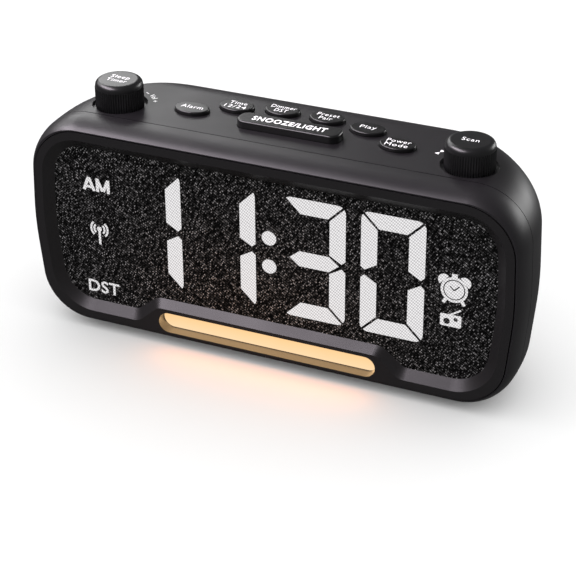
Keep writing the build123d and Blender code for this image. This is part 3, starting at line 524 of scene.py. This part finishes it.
def bar(bm, x, z, length, width, angle, rounding=0.0):
    """A straight bar on the front plane, turned by angle degrees about its centre."""
    other = bmesh.new()
    flat_face(other, [(-length / 2, -width / 2), (length / 2, -width / 2), (length / 2, width / 2),
                      (-length / 2, width / 2)], rounding, 3)
    merge_in(bm, other, Matrix.Translation((x, 0, z)) @ Matrix.Rotation(-math.radians(angle), 4, "Y"))


ARC_STEPS = 12


def arc_band(bm, x, z, radius, width, start, end):
    """A curved band on the front plane, from start to end degrees round its centre."""
    band = bmesh.new()
    a = math.radians(start)
    edge = [band.verts.new((r * math.cos(a), 0, r * math.sin(a)))
            for r in (radius - width / 2, radius + width / 2)]
    band.edges.new(edge)
    bmesh.ops.spin(band, geom=band.verts[:] + band.edges[:], cent=(0, 0, 0), axis=(0, -1, 0),
                   angle=math.radians(end - start), steps=ARC_STEPS)
    merge_in(bm, band, Matrix.Translation((x, 0, z)))


ALARM_X, ALARM_Z = 67.75, 45.5
RADIO_LEFT, RADIO_RIGHT, RADIO_LOW, RADIO_HIGH = 63.3, 70.7, 31.3, 35.9
WIRELESS_X, WIRELESS_Z = -65.3, 40.8
WAVE_HALF = 48  # degrees that each radio wave reaches above and below level


def alarm_clock_icon():
    """Twin-bell alarm clock: ring, face, two bells, hammer and feet."""
    bm = bmesh.new()
    x, z = ALARM_X, ALARM_Z
    disc(bm, x, z, radius=4.75, inner=3.85)
    disc(bm, x, z, radius=3.45)
    bar(bm, x, z + 5.25, length=2.0, width=1.5, angle=0, rounding=0.3)
    for side in (1, -1):
        bell = bmesh.new()
        disc(bell, 0, 0, 2.2, segments=28)
        trim(bell, (0, 0), (0, -1))
        merge_in(bm, bell, Matrix.Translation((x + side * 3.55, 0, z + 3.2))
                 @ Matrix.Rotation(side * math.radians(48), 4, "Y"))
        bar(bm, x + side * 3.25, z - 4.55, length=1.2, width=1.9, angle=side * 30, rounding=0.3)
    return lit_piece("lit_alarm_icon", bm)


def radio_icon():
    """Small table radio: box with a raised aerial. Its speaker and dial are dark marks made below."""
    bm = bmesh.new()
    flat_face(bm, [(RADIO_LEFT, RADIO_LOW), (RADIO_RIGHT, RADIO_LOW), (RADIO_RIGHT, RADIO_HIGH),
                   (RADIO_LEFT, RADIO_HIGH)], 0.5, 3)
    bar(bm, 68.6, 37.0, length=4.4, width=0.6, angle=33, rounding=0.15)
    return lit_piece("lit_radio_icon", bm)


def wireless_icon():
    """Plain radio-waves sign: a mast with waves on both sides."""
    bm = bmesh.new()
    x, z = WIRELESS_X, WIRELESS_Z
    disc(bm, x, z, radius=0.95, segments=24)
    bar(bm, x, z - 3.4, length=0.9, width=5.6, angle=0, rounding=0.25)
    for radius in (2.05, 3.3):
        for middle in (0, 180):
            arc_band(bm, x, z, radius, 0.75, middle - WAVE_HALF, middle + WAVE_HALF)
    return lit_piece("lit_wireless_icon", bm)


MORNING_Z, MORNING_HEIGHT = 58.3, 5.2  # middle and height of the letters
MORNING_STROKE = 1.15
# middle, lean in degrees and length of the two sides of the A, the two posts of the M and its two slants
MORNING_STROKES = (
    (-69.45, 69, 5.5), (-67.35, -69, 5.5),
    (-65.0, 90, MORNING_HEIGHT), (-60.7, 90, MORNING_HEIGHT),
    (-63.95, -66, 4.6), (-61.8, 66, 4.6),
)


def morning_sign():
    """AM in bold strokes, cut level at the top and the foot, and then the bar of the A."""
    bm = bmesh.new()
    for x, lean, length in MORNING_STROKES:
        other = bmesh.new()
        bar(other, x, MORNING_Z, length, MORNING_STROKE, lean)
        trim(other, (0, MORNING_Z + MORNING_HEIGHT / 2), (0, 1))
        trim(other, (0, MORNING_Z - MORNING_HEIGHT / 2), (0, -1))
        merge_in(bm, other)
    bar(bm, -68.4, 57.2, length=2.4, width=0.95, angle=0)
    return lit_piece("lit_am", bm)


lit_am = morning_sign()
alarm_clock_icon()
radio_icon()
wireless_icon()


def unlit(name, bm):
    """A dark line or spot inside a lit sign, in the cloth's own colour, a hair in front of it."""
    thicken(bm, LIT_DEPTH)
    bmesh.ops.translate(bm, verts=bm.verts[:], vec=(0, CLOTH_FRONT - LIT_PROUD - UNLIT_PROUD, 0))
    piece(name, bm, cloth, "case")


hands = bmesh.new()
for x, z, length, angle in ((67.0, 46.0, 2.1, -45), (68.65, 46.2, 2.7, 45)):
    bar(hands, x, z, length, 0.42, angle, 0.15)
unlit("alarm_icon_hands", hands)
dials = bmesh.new()
for x, z, radius, segments in ((65.6, 33.2, 1.15, 24), (68.7, 34.3, 0.75, 20)):
    disc(dials, x, z, radius, segments=segments)
unlit("radio_icon_dials", dials)


# ---------------------------------------------------------------- printed words


INK = 0.03  # thickness of the printed film
FACE_CAP = 0.71  # height of a capital in the face's own units


def words(name, text, width, height, place, material, body, weight=0.0, depth=INK, spread=1.0):
    """Words fitted to a width and a cap height in millimetres, in a plain sans face, as a thin film.
    place carries them from a drawing plane with z outward to where they are printed. weight makes the strokes
    bolder, in the face's own units, and spread sets the letters apart."""
    curve = bpy.data.curves.new(name, "FONT")
    curve.body, curve.align_x, curve.align_y = text, "LEFT", "BOTTOM_BASELINE"
    curve.offset, curve.space_character, curve.resolution_u = weight, spread, 3
    drawn = bpy.data.objects.new(name, curve)
    scene.collection.objects.link(drawn)
    mesh = bpy.data.meshes.new_from_object(drawn.evaluated_get(bpy.context.evaluated_depsgraph_get()))
    bpy.data.objects.remove(drawn)
    bm = bmesh.new()
    bm.from_mesh(mesh)
    bpy.data.meshes.remove(mesh)
    bmesh.ops.remove_doubles(bm, verts=bm.verts[:], dist=0.0005)
    low = [min(v.co[i] for v in bm.verts) for i in (0, 1)]
    high = [max(v.co[i] for v in bm.verts) for i in (0, 1)]
    cap = FACE_CAP + 2 * weight
    bmesh.ops.translate(bm, verts=bm.verts[:], vec=(-(low[0] + high[0]) / 2, -cap / 2 + weight, 0))
    bmesh.ops.scale(bm, verts=bm.verts[:], vec=(width / (high[0] - low[0]), height / cap, 1))
    faces = bm.faces[:]
    for face in faces:
        if face.normal.z < 0:
            face.normal_flip()
    made = bmesh.ops.extrude_face_region(bm, geom=faces, use_keep_orig=True)
    bmesh.ops.translate(bm, verts=[v for v in made["geom"] if isinstance(v, bmesh.types.BMVert)],
                        vec=(0, 0, -depth))
    bmesh.ops.recalc_face_normals(bm, faces=bm.faces[:])
    bm.transform(place)
    return piece(name, bm, material, body)


# the daylight-saving sign is lit too
SUMMER_AT = (-64.9, CLOTH_FRONT - LIT_PROUD, 17.0)
SUMMER_WIDTH, SUMMER_HEIGHT = 12.6, 5.0
words("lit_dst", "DST", SUMMER_WIDTH, SUMMER_HEIGHT, Matrix.Translation(SUMMER_AT) @ FRONT_PLANE, lit, "case",
      weight=0.015, depth=LIT_DEPTH, spread=1.04)
# the lit shapes take the place of the CAD windows behind the cloth
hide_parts("display_segments")

KEY_LINE, SNOOZE_LINE = 2.3, 3.3  # cap heights on the keys and knobs, and on the snooze bar
KEY_WEIGHT, SNOOZE_WEIGHT = -0.006, 0.02
KEY_SPREAD = 1.12
# each line's text, width and rise above the middle of its key or knob
KEY_WORDS = {
    "alarm_key": (("Alarm", 8.2, 0.4),),
    "time_key": (("Time", 6.6, 1.7), ("12/24", 8.0, -1.4)),
    "dimmer_key": (("Dimmer", 9.4, 1.5), ("DST", 4.8, -1.4)),
    "preset_key": (("Preset", 8.2, 1.5), ("Pair", 4.8, -1.4)),
    "play_key": (("Play", 5.8, 0.5),),
    "power_key": (("Power", 8.6, 1.7), ("Mode", 8.1, -1.3)),
    "snooze_bar": (("SNOOZE/LIGHT", 27.4, 0.0),),
    "volume_knob": (("Sleep", 7.3, 1.7), ("Timer", 7.8, -1.5)),
    "tuning_knob": (("Scan", 6.0, 0.0),),
}
for name, lines in KEY_WORDS.items():
    low, high = (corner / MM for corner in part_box(name))
    centre = (low + high) / 2
    line, weight = (SNOOZE_LINE, SNOOZE_WEIGHT) if name == "snooze_bar" else (KEY_LINE, KEY_WEIGHT)
    for row, (text, width, rise) in enumerate(lines):
        place = Matrix.Translation((centre.x, centre.y + rise, high.z + INK / 2))
        words("%s_print_%d" % (name, row + 1), text, width, line, place, ink, name, weight=weight,
              spread=KEY_SPREAD)

DECK_Z = 82.0
KNOB_X, KNOB_Y = 64.9, -6.7  # the knobs' axes, at this distance on either side of the middle


def round_knob(x, angle, radius, turn=0.0):
    """Place on the deck at an angle round a knob, with up pointing away from the knob."""
    a = math.radians(angle)
    return (Matrix.Translation((x + radius * math.cos(a), KNOB_Y + radius * math.sin(a), DECK_Z + INK / 2))
            @ Matrix.Rotation(a - math.pi / 2 + turn, 4, "Z"))


words("deck_volume_word", "Vol", 3.9, 2.0, round_knob(-KNOB_X, 47, 12.6), ink, "case",
      weight=0.01)

SIGN_LENGTH, SIGN_WIDTH = 1.5, 0.32
SIGN_RADIUS, ARROW_RADIUS = 12.4, 13.4  # distances from a knob's axis
MINUS_ANGLE, PLUS_ANGLE, ARROW_ANGLE = 65, 28.4, 156
ARROW_TIP, ARROW_TAIL, ARROW_HALF = 0.1, 1.6, 0.85

signs = bmesh.new()
for angle, turn in ((MINUS_ANGLE, 0.0), (PLUS_ANGLE, 0.0), (PLUS_ANGLE, math.pi / 2)):
    stroke = bmesh.new()
    bar(stroke, 0, 0, SIGN_LENGTH, SIGN_WIDTH, 0)
    thicken(stroke, INK)
    merge_in(signs, stroke, round_knob(-KNOB_X, angle, SIGN_RADIUS, turn) @ LAID_FLAT)
piece("deck_volume_signs", signs, ink, "case")
arrows = bmesh.new()
for side in (1, -1):
    arrow = bmesh.new()
    tail, tip = side * ARROW_TAIL, side * ARROW_TIP
    flat_face(arrow, [(tail, -ARROW_HALF), (tail, ARROW_HALF), (tip, 0.0)])
    thicken(arrow, INK)
    merge_in(arrows, arrow, round_knob(KNOB_X, ARROW_ANGLE, ARROW_RADIUS) @ LAID_FLAT)
piece("deck_tuning_arrows", arrows, ink, "case")

# ---------------------------------------------------------------- floor, light and camera

FLOOR_RADIUS = 6.0  # metres

floor_shape = bmesh.new()
bmesh.ops.create_circle(floor_shape, cap_ends=True, radius=FLOOR_RADIUS, segments=64)
floor_mesh = bpy.data.meshes.new("studio_floor")
floor_shape.to_mesh(floor_mesh)
floor_shape.free()
floor_mesh.materials.append(paper_floor())
floor = bpy.data.objects.new("studio_floor", floor_mesh)
scene.collection.objects.link(floor)
floor.visible_glossy = False

for_object = bpy.data.collections.new("object_light_only")
for_floor = bpy.data.collections.new("floor_light_only")
for thing in scene.collection.all_objects:
    if thing.type == "MESH" and thing is not floor:
        for_object.objects.link(thing)
for_floor.objects.link(floor)

# white all round, but dim where the object mirrors it
world = bpy.data.worlds.new("white_studio")
scene.world = world
world.use_nodes = True
world.cycles.sampling_method = "NONE"
sky = world.node_tree
sky.nodes.clear()
open_white = node(sky, "ShaderNodeBackground", inputs={"Color": grey(1.0), "Strength": 1.18})
dim_walls = node(sky, "ShaderNodeBackground", inputs={"Color": grey(1.0), "Strength": 0.12})
ray = node(sky, "ShaderNodeLightPath")
# its input 0 chooses between inputs 1 and 2
surround = node(sky, "ShaderNodeMixShader", links={0: ray.outputs["Is Glossy Ray"], 1: open_white.outputs[0],
                                                   2: dim_walls.outputs[0]})
node(sky, "ShaderNodeOutputWorld", links={"Surface": surround.outputs[0]})


def area_light(name, size, radiance, colour, receivers):
    """A rectangular lamp that lights only one collection. radiance is how bright its face looks, so its power
    follows from its area."""
    lamp = bpy.data.lights.new(name, "AREA")
    lamp.shape, lamp.size, lamp.size_y = "RECTANGLE", size[0], size[1]
    lamp.energy = radiance * math.pi * size[0] * size[1]
    lamp.color = paint(colour)[:3]
    holder = bpy.data.objects.new(name, lamp)
    scene.collection.objects.link(holder)
    holder.light_linking.receiver_collection = receivers
    return holder


AIM = Vector((0, 0, 0.04))  # near the middle of the case, in metres


def softbox(name, azimuth, elevation, distance, size, radiance, colour="#ffffff"):
    """A soft studio panel aimed at the object. Azimuth 0 is in front, 90 to the right."""
    a, e = math.radians(azimuth), math.radians(elevation)
    away = Vector((math.sin(a) * math.cos(e), -math.cos(a) * math.cos(e), math.sin(e)))
    holder = area_light(name, size, radiance, colour, for_object)
    holder.location = away * distance + AIM
    holder.rotation_euler = away.to_track_quat("Z", "Y").to_euler()
    return holder


# degrees round and up, distance and size in metres, radiance and any tint
softbox("band_box", -56, 50, 1.2, (1.3, 0.5), 12.0, "#fff4ff")
softbox("deck_box", 220, 30, 1.2, (0.45, 0.45), 4.2)
softbox("left_end_box", -108, 35, 1.2, (0.6, 0.6), 2.5)
softbox("right_end_box", 146, 12, 1.2, (0.6, 0.4), 6.0)

GLOW_SIZE = (81 * MM, 7.2 * MM)
GLOW_HEIGHT = 9.75 * MM  # middle of the light bar above the floor
GLOW_GAP = 0.15 * MM
HAZE_HEIGHT = 22 * MM


def glow(name, colour, radiance, receivers, plane, dip=0.0):
    """The light bar's own light, given by a thin panel just in front of the CAD piece named as its plane. dip
    is how far it leans down towards the floor, in degrees."""
    holder = area_light(name, GLOW_SIZE, radiance, colour, receivers)
    holder.location = (0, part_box(plane)[0].y - GLOW_GAP, GLOW_HEIGHT)
    holder.rotation_euler = (math.radians(dip - 90), 0, 0)
    holder.visible_camera = False


glow("bar_glow_on_case", "#ffcf92", 5.0, for_object, "light_bar_diffuser")
glow("bar_glow_on_floor", "#ff9214", 2.5, for_floor, "bezel_frame", dip=40)

# a small warm strip close in front, which gives the bar's haze on the frame round it
haze = softbox("bar_haze", -6, 12, 0.06, (0.06, 0.008), 8.0, "#ffae5c")
haze.location.z = HAZE_HEIGHT
haze.visible_glossy = False
haze.visible_camera = False

FOCAL_LENGTH, SENSOR_WIDTH = 110.73, 36.0  # millimetres
CAMERA_AT = (0.219823, -0.511251, 0.337514)  # metres
CAMERA_TURN, CAMERA_TILT, CAMERA_ROLL = 23.589, 29.915, -0.347  # degrees left, down and anticlockwise

lens = bpy.data.cameras.new("camera")
lens.lens, lens.sensor_width = FOCAL_LENGTH, SENSOR_WIDTH
lens.clip_start, lens.clip_end = 0.05, 20.0
camera = bpy.data.objects.new("camera", lens)
scene.collection.objects.link(camera)
turn, tilt, roll = (math.radians(a) for a in (CAMERA_TURN, CAMERA_TILT, CAMERA_ROLL))
forward = Vector((-math.sin(turn) * math.cos(tilt), math.cos(turn) * math.cos(tilt), -math.sin(tilt)))
level = Vector((math.cos(turn), math.sin(turn), 0.0))
upright = level.cross(forward)
right = level * math.cos(roll) + upright * math.sin(roll)
up = upright * math.cos(roll) - level * math.sin(roll)
pose = Matrix((right, up, -forward)).transposed().to_4x4()
pose.translation = CAMERA_AT
camera.matrix_world = pose
scene.camera = camera
